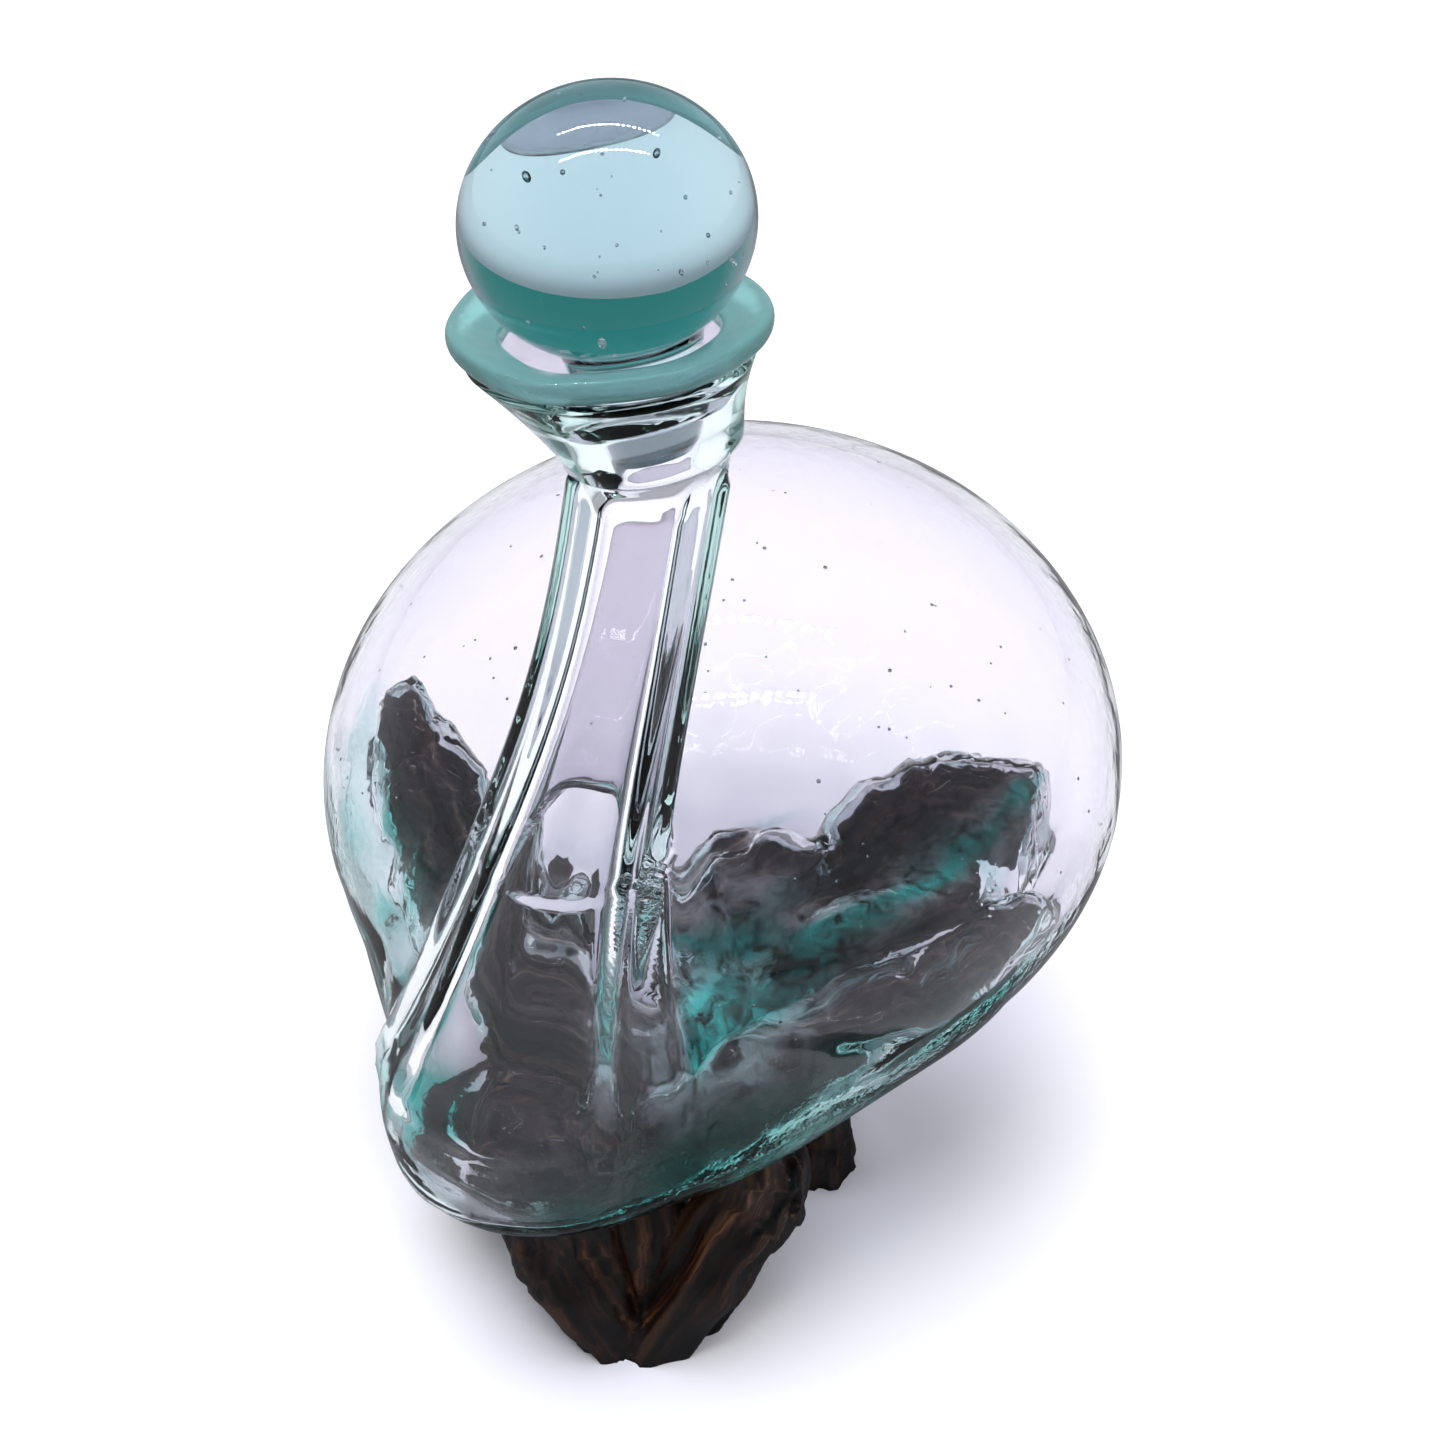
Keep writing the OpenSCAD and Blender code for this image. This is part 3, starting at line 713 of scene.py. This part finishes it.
def tinted_glass(name, surface_tint, depth_tint, density, roughness, lamp_share, bump, pooled_tint=None,
                 clearness=1.0, shine=1.0):
    """Glass with its colour in its depth; lamps reach through it as through real glass."""
    mat, tree = new_material(name)
    place = add(tree, "ShaderNodeTexCoord")
    ripple = add(tree, "ShaderNodeTexNoise", [(place.outputs["Object"], "Vector")],
                 Scale=bump[0], Detail=2.0, Roughness=0.5)
    relief = add(tree, "ShaderNodeBump", [(ripple.outputs["Fac"], "Height")],
                 Strength=bump[1], Distance=0.0004)
    if pooled_tint:
        crinkle = add(tree, "ShaderNodeTexNoise", [(place.outputs["Object"], "Vector")],
                      Scale=260.0, Detail=3.0, Roughness=0.55)
        pooled = add(tree, "ShaderNodeAttribute", attribute_name="pooled")
        sorts = add(tree, "ShaderNodeSeparateColor", [(pooled.outputs["Color"], "Color")])
        relief = add(tree, "ShaderNodeBump",
                     [(crinkle.outputs["Fac"], "Height"), (relief.outputs["Normal"], "Normal"),
                      (sorts.outputs["Red"], "Strength")], Distance=0.0005)
    body = add(tree, "ShaderNodeBsdfPrincipled", [(relief.outputs["Normal"], "Normal")],
               Base_Color=linear(surface_tint), Roughness=roughness, IOR=1.5,
               Specular_Tint=(shine, shine, shine, 1), Transmission_Weight=clearness)
    if pooled_tint:
        tint = add(tree, "ShaderNodeMix", [(sorts.outputs["Red"], 0)], data_type="RGBA")
        tint.inputs[6].default_value = linear(surface_tint)
        tint.inputs[7].default_value = linear(pooled_tint)
        tree.links.new(tint.outputs[2], body.inputs["Base Color"])
        # Swirls of fine air in the pool turn part of the light back.
        swirl = add(tree, "ShaderNodeTexNoise", [(place.outputs["Object"], "Vector")],
                    Scale=150.0, Detail=4.0, Roughness=0.6, Distortion=1.2)
        speckle = add(tree, "ShaderNodeMapRange", [(swirl.outputs["Fac"], "Value")],
                      From_Min=0.36, From_Max=0.58)
        seedy = add(tree, "ShaderNodeMath", [(sorts.outputs["Green"], 0), (speckle.outputs["Result"], 1)],
                    operation="MULTIPLY")
        clear = add(tree, "ShaderNodeMath", [(seedy.outputs[0], 1)], operation="SUBTRACT")
        clear.inputs[0].default_value = 1.0
        tree.links.new(clear.outputs[0], body.inputs["Transmission Weight"])
    lamp = add(tree, "ShaderNodeBsdfTransparent", Color=linear(lamp_share))
    ray = add(tree, "ShaderNodeLightPath")
    both = add(tree, "ShaderNodeMixShader", [(ray.outputs["Is Shadow Ray"], "Fac")])
    tree.links.new(body.outputs["BSDF"], both.inputs[1])
    tree.links.new(lamp.outputs["BSDF"], both.inputs[2])
    depth = add(tree, "ShaderNodeVolumeAbsorption", Color=linear(depth_tint), Density=density)
    add(tree, "ShaderNodeOutputMaterial", [(both.outputs["Shader"], "Surface"),
                                           (depth.outputs["Volume"], "Volume")])
    return mat


# How far the glass is pooled, and so tinted, at each point: along the slumped rim, over the
# limbs' steep sides, in the curls, beside the heel, along one ridge and in one seedy pool.
p = points_of(bottle) / MM
slope_x, slope_y = np.gradient(drape, cell)
slope = np.hypot(sampled(slope_x, p[:, 0], p[:, 1]), sampled(slope_y, p[:, 0], p[:, 1]))
steep = np.clip((slope - 0.7) / 1.4, 0, 1)
is_outer = np.arange(len(p)) < inner_start
is_under = np.zeros(len(p), bool)
is_under[len(outer) * columns:inner_start] = True
floor_start = len(points) - 2 - len(inner_under) * columns
is_under[floor_start:] = True
is_floor = is_under & ~is_outer
cloud = 0.5 + 0.5 * waves(p, 19, 16, 61)
fine_cloud = np.clip(0.5 + 0.7 * waves(p * [1, 1, 0.3], 11, 22, 62), 0, 1)
left_side = np.clip((-p[:, 0] - 34) / 30, 0, 1) * np.clip((-12 - p[:, 1]) / 30, 0, 1)
in_heel = np.exp(-((p[:, 0] + 3) / 17)**4) * np.clip((-66 - p[:, 1]) / 8, 0, 1)
index = np.arange(len(p))
row_in = np.where(is_outer, (index - len(outer) * columns) / (len(under) * columns),
                  (index - floor_start) / (len(inner_under) * columns))
rim_band = np.where(is_under, np.clip(1 - row_in / 0.42, 0, 1), np.clip((76 - p[:, 2]) / 24, 0, 1))
rim_band = rim_band * (1 - 0.8 * in_heel) * np.clip((10 - p[:, 1]) / 40, 0, 1)
rim_band = np.maximum(rim_band, left_side * np.clip((98 - p[:, 2]) / 26, 0, 1) * (0.55 + 0.45 * cloud))
on_wood = is_under * np.clip(1 - (p[:, 2] - sampled(drape, p[:, 0], p[:, 1]) - 7) / 5, 0, 1)
ridge_from, ridge_to = np.array([69, 29, 62]), np.array([34, -18, 51])
span = ridge_to - ridge_from
t = np.clip((p - ridge_from) @ span / (span @ span), 0, 1)
ridge = np.exp(-(np.hypot(*(p - ridge_from - t[:, None] * span)[:, :2].T) / (2.8 + 2 * t))**2) * is_floor
pool = np.exp(-(((p[:, 0] - 24 + 4 * (cloud - 0.5)) / 17)**2 + ((p[:, 1] + 38) / 23)**2)**1.5) * is_floor
heel_side = np.exp(-((p[:, 0] + 25) / 10)**2 - ((p[:, 1] + 86) / 13)**2) * is_under * (0.4 + 0.6 * cloud)
feet = sum(np.exp(-(np.linalg.norm(p - foot, axis=1) / (2.2 * size))**2) for foot, size in curls)
red = np.clip(1.1 * rim_band * (0.5 + 0.5 * cloud) + 0.6 * steep * on_wood * (0.3 + 0.7 * cloud)
              + 0.7 * feet + 0.9 * heel_side + pool * 1.1 + 1.2 * ridge, 0, 1)
green = np.clip(pool * (0.35 + 0.8 * fine_cloud), 0, 0.85)
green = np.maximum(green, 0.7 * ridge * (0.4 + 0.6 * fine_cloud))
tints = np.column_stack([red, green, np.zeros(len(p)), np.ones(len(p))])
pooled = bottle.data.color_attributes.new("pooled", "FLOAT_COLOR", "POINT")
pooled.data.foreach_set("color", tints.astype(np.float32).ravel())

# Soda-lime glass melted from scrap: nearly clear where thin, sea green where it pooled.
bottle.data.materials.append(tinted_glass("blown_aqua_glass", "e9e5eb", "43c9b4", 16.0, 0.0, "f2f0f6",
                                         (110.0, 0.16), "3db0a7", shine=0.55))
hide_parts("bottle_dome", "bottle_base", "bottle_neck", "mouth_funnel")
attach(bottle, "bottle")


# ---- Lip ring ----
# A thick trail of denser sea-green glass wound round the mouth and pressed flat with a tool,
# which left it satin and faintly streaked.
bpy.ops.object.select_all(action="DESELECT")
lip_r, trail_r, trail_middle = 21.7, 4.3, 20.5
bpy.ops.mesh.primitive_torus_add(major_segments=192, minor_segments=40, major_radius=lip_r * MM,
                                 minor_radius=trail_r * MM, location=(0, 0, 0))
lip = bpy.context.object
lip.name = lip.data.name = "lip_ring_glass"
co = points_of(lip) / MM
r, h, a = np.hypot(co[:, 0], co[:, 1]), co[:, 2], np.arctan2(co[:, 1], co[:, 0])
# Pressed flatter above than below, dished toward the mouth, and a little uneven all round.
h = np.where(h > 0, 2.3 * np.tanh(h / 2.6), 2.9 * np.tanh(h / 3.0))
h = h + 0.28 * (r - trail_middle) + 0.25 * np.sin(2 * a + 1) + 0.18 * np.sin(5 * a)
r = r + 0.28 * np.sin(3 * a + 0.6) + 0.16 * np.sin(7 * a)
co = np.column_stack([r * np.cos(a), r * np.sin(a), h + 0.4])
set_points(lip, (lip_centre + co @ lip_tilt.T) * MM)
for poly in lip.data.polygons:
    poly.use_smooth = True
lip.data.materials.append(tinted_glass("pressed_teal_glass", "9ccaca", "42aea8", 60.0, 0.24, "cfeae8",
                                        (420.0, 0.5), clearness=0.66))
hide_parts("lip_ring")
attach(lip, "bottle")


# ---- Stopper ----
# A solid ball of glass, a little flattened, drawn down into a ground peg that sits in the
# mouth. It is gathered and shaped hot as one piece.
bpy.ops.object.select_all(action="DESELECT")
bpy.ops.mesh.primitive_uv_sphere_add(segments=128, ring_count=72, radius=1.0, location=(0, 0, 0))
stopper = bpy.context.object
stopper.name = stopper.data.name = "ball_stopper"
co = points_of(stopper)
ball = co * ball_size + [0, 0, ball_h]
peg_line = co[:, 2] < -ball_cut
r = np.hypot(co[:, 0], co[:, 1])
# The sphere's cap below the cut is drawn down: its middle is the peg's end, the rest its side.
share = np.clip(r / (peg_top_r / ball_size[0]), 0, 1)
end_share = 0.62
up_side = (share - end_share) / (1 - end_share)
peg_h = np.where(share < end_share, peg_low, peg_low + (peg_high - peg_low) * up_side)
peg_rad = np.where(share < end_share, peg_radius(peg_low) * share / end_share, peg_radius(peg_h))
unit_xy = co[:, :2] / np.maximum(r, 1e-9)[:, None]
peg = np.column_stack([unit_xy * peg_rad[:, None], peg_h])
co = np.where(peg_line[:, None], peg, ball)
set_points(stopper, (seat_foot + co @ seat_tilt.T) * MM)
for poly in stopper.data.polygons:
    poly.use_smooth = True
ball_seeds = 70
spread = unit(spots.normal(size=(ball_seeds, 3))) * spots.uniform(0.55, 0.95, (ball_seeds, 1))
add_seeds(stopper, seat_foot + (spread * ball_size * 0.97 + [0, 0, ball_h]) @ seat_tilt.T,
          spots.uniform(0.1, 0.32, ball_seeds), spots.uniform(0.8, 1.4, (ball_seeds, 3)))
stopper.data.materials.append(tinted_glass("solid_aqua_glass", "e6eff1", "a2bfc8", 34.0, 0.0, "f2f8f8",
                                            (60.0, 0.05)))
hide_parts("stopper")
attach(stopper, "stopper")


# ---- Table, lights and camera ----
# A white table under soft light from above, with two rows of small lamps that make the dotted
# glints on the ball and the dome.
bpy.ops.object.select_all(action="DESELECT")
bpy.ops.mesh.primitive_plane_add(size=8, location=(0, 0, 0))
table = bpy.context.object
table.name = "table"
paper, tree = new_material("white_paper")
sheet_skin = add(tree, "ShaderNodeBsdfPrincipled", Base_Color=linear("f4f3f6"), Roughness=0.9)
# Seen by reflected rays, from the glass's face or the wood, the table is a grey painted shade: the glass
# mirrors a darker table and bounce light is dimmer.
reflected_painted_shade = add(tree, "ShaderNodeBsdfDiffuse", Color=linear("8d8d90"))
ray = add(tree, "ShaderNodeLightPath")
sheet_mix = add(tree, "ShaderNodeMixShader", [(ray.outputs["Is Reflection Ray"], "Fac")])
tree.links.new(sheet_skin.outputs["BSDF"], sheet_mix.inputs[1])
tree.links.new(reflected_painted_shade.outputs["BSDF"], sheet_mix.inputs[2])
add(tree, "ShaderNodeOutputMaterial", [(sheet_mix.outputs["Shader"], "Surface")])
table.data.materials.append(paper)

world = bpy.data.worlds.new("studio")
bpy.context.scene.world = world
world.use_nodes = True
tree = world.node_tree
tree.nodes.clear()
place = add(tree, "ShaderNodeTexCoord")
split = add(tree, "ShaderNodeSeparateXYZ", [(place.outputs["Generated"], "Vector")])
# What mirrors from the glass's face sees a dim room, what passes through it sees a bright one, and what
# passes straight through the ball alone sees a painted sea-green glow on the far side: a painted
# refraction that gives the ball its teal band.
sky = ramp(tree, split.outputs["Z"], [(0.0, (0.56, 0.56, 0.59, 1)), (0.45, (0.42, 0.42, 0.45, 1)),
                                      (0.75, (0.30, 0.30, 0.32, 1))])
dim_sky = ramp(tree, split.outputs["Z"], [(0.0, (0.50, 0.50, 0.53, 1)), (0.25, (0.26, 0.26, 0.28, 1)),
                                          (0.75, (0.14, 0.14, 0.15, 1))])
far_side = add(tree, "ShaderNodeVectorMath", [(place.outputs["Generated"], 0)], operation="DOT_PRODUCT")
far_side.inputs[1].default_value = (-0.42, 0.91, 0)
facing = ramp(tree, far_side.outputs["Value"], [(0.35, (0, 0, 0, 1)), (0.75, (1, 1, 1, 1))])
ray = add(tree, "ShaderNodeLightPath")
mirrored = add(tree, "ShaderNodeMath", [(ray.outputs["Glossy Depth"], 0)], operation="MINIMUM")
mirrored.inputs[1].default_value = 1.0
in_glass = add(tree, "ShaderNodeMath", [(ray.outputs["Transmission Depth"], 0)], operation="MINIMUM")
in_glass.inputs[1].default_value = 1.0
straight = add(tree, "ShaderNodeMath", [(in_glass.outputs[0], 0), (mirrored.outputs[0], 1)],
               operation="SUBTRACT", use_clamp=True)
glint = add(tree, "ShaderNodeMath", [(in_glass.outputs[0], 0), (mirrored.outputs[0], 2)],
            operation="MULTIPLY_ADD", use_clamp=True)
glint.inputs[1].default_value = -0.55
bright = add(tree, "ShaderNodeMix", [(in_glass.outputs[0], 0), (sky.outputs["Color"], 6)],
             data_type="RGBA")
bright.inputs[7].default_value = (0.75, 0.75, 0.77, 1)
dimmed = add(tree, "ShaderNodeMix",
             [(glint.outputs[0], 0), (bright.outputs[2], 6), (dim_sky.outputs["Color"], 7)],
             data_type="RGBA")
few_walls = add(tree, "ShaderNodeMath", [(ray.outputs["Transmission Depth"], 0)], operation="LESS_THAN")
few_walls.inputs[1].default_value = 2.5
in_ball = add(tree, "ShaderNodeMath", [(straight.outputs[0], 0), (few_walls.outputs[0], 1)],
              operation="MULTIPLY")
through = add(tree, "ShaderNodeMath", [(facing.outputs["Color"], 0), (in_ball.outputs[0], 1)],
              operation="MULTIPLY")
# Painted sea-green glow, seen only by rays that came straight through the ball: a painted refraction, not
# a wall in the room.
ball_teal_glow = add(tree, "ShaderNodeMix", [(through.outputs[0], 0), (dimmed.outputs[2], 6)], data_type="RGBA")
ball_teal_glow.inputs[7].default_value = (0.035, 0.40, 0.35, 1)
back = add(tree, "ShaderNodeBackground", [(ball_teal_glow.outputs[2], "Color")], Strength=1.0)
plain = add(tree, "ShaderNodeBackground", Color=(0.96, 0.96, 0.97, 1), Strength=1.0)
seen = add(tree, "ShaderNodeMixShader", [(ray.outputs["Is Camera Ray"], "Fac")])
tree.links.new(back.outputs["Background"], seen.inputs[1])
tree.links.new(plain.outputs["Background"], seen.inputs[2])
add(tree, "ShaderNodeOutputWorld", [(seen.outputs["Shader"], "Surface")])

for name, place, size, power, colour in (
        ("overhead", (-0.3, 0.3, 1.5), 1.6, 40.0, "ffffff"),
        ("side", (0.9, -0.5, 0.9), 0.6, 4.0, "f6f8ff")):
    data = bpy.data.lights.new(name, "AREA")
    data.size, data.energy, data.color = size, power, linear(colour)[:3]
    lamp = bpy.data.objects.new(name, data)
    lamp.location = place
    lamp.visible_glossy = lamp.visible_transmission = False
    lamp.rotation_euler = (Vector((0, 0, 0.1)) - Vector(place)).to_track_quat("-Z", "Y").to_euler()
    bpy.context.scene.collection.objects.link(lamp)

small_lamp, tree = new_material("small_lamp")
small_lamp.cycles.emission_sampling = "NONE"
glow = add(tree, "ShaderNodeEmission", Strength=110.0)
add(tree, "ShaderNodeOutputMaterial", [(glow.outputs["Emission"], "Surface")])
lamps_in_row, lamp_side, lamp_z = 20, 0.026, 1.2
for name, start, end in (("lamp_row_back", (-0.65, 0.16, lamp_z), (0.25, 0.54, lamp_z)),
                         ("lamp_row_front", (-0.45, -0.27, lamp_z), (0.36, 0.18, lamp_z))):
    bpy.ops.object.select_all(action="DESELECT")
    for k in range(lamps_in_row):
        share = k / (lamps_in_row - 1)
        bpy.ops.mesh.primitive_plane_add(size=lamp_side, location=Vector(start).lerp(Vector(end), share))
        one = bpy.context.object
        if k:
            one.select_set(True)
            row.select_set(True)
            bpy.context.view_layer.objects.active = row
            bpy.ops.object.join()
        else:
            row = one
    row.name = name
    row.visible_diffuse = False
    row.data.materials.append(small_lamp)

camera_data = bpy.data.cameras.new("camera")
camera_data.lens, camera_data.sensor_width = 50.0, 36.0
camera = bpy.data.objects.new("camera", camera_data)
camera.location = (0.1525, -0.3138, 0.3925)
camera.rotation_euler = Euler(np.radians([50, 0, 25]))
bpy.context.scene.collection.objects.link(camera)
bpy.context.scene.camera = camera
bpy.context.scene.view_settings.view_transform = "Standard"

bpy.context.view_layer.update()
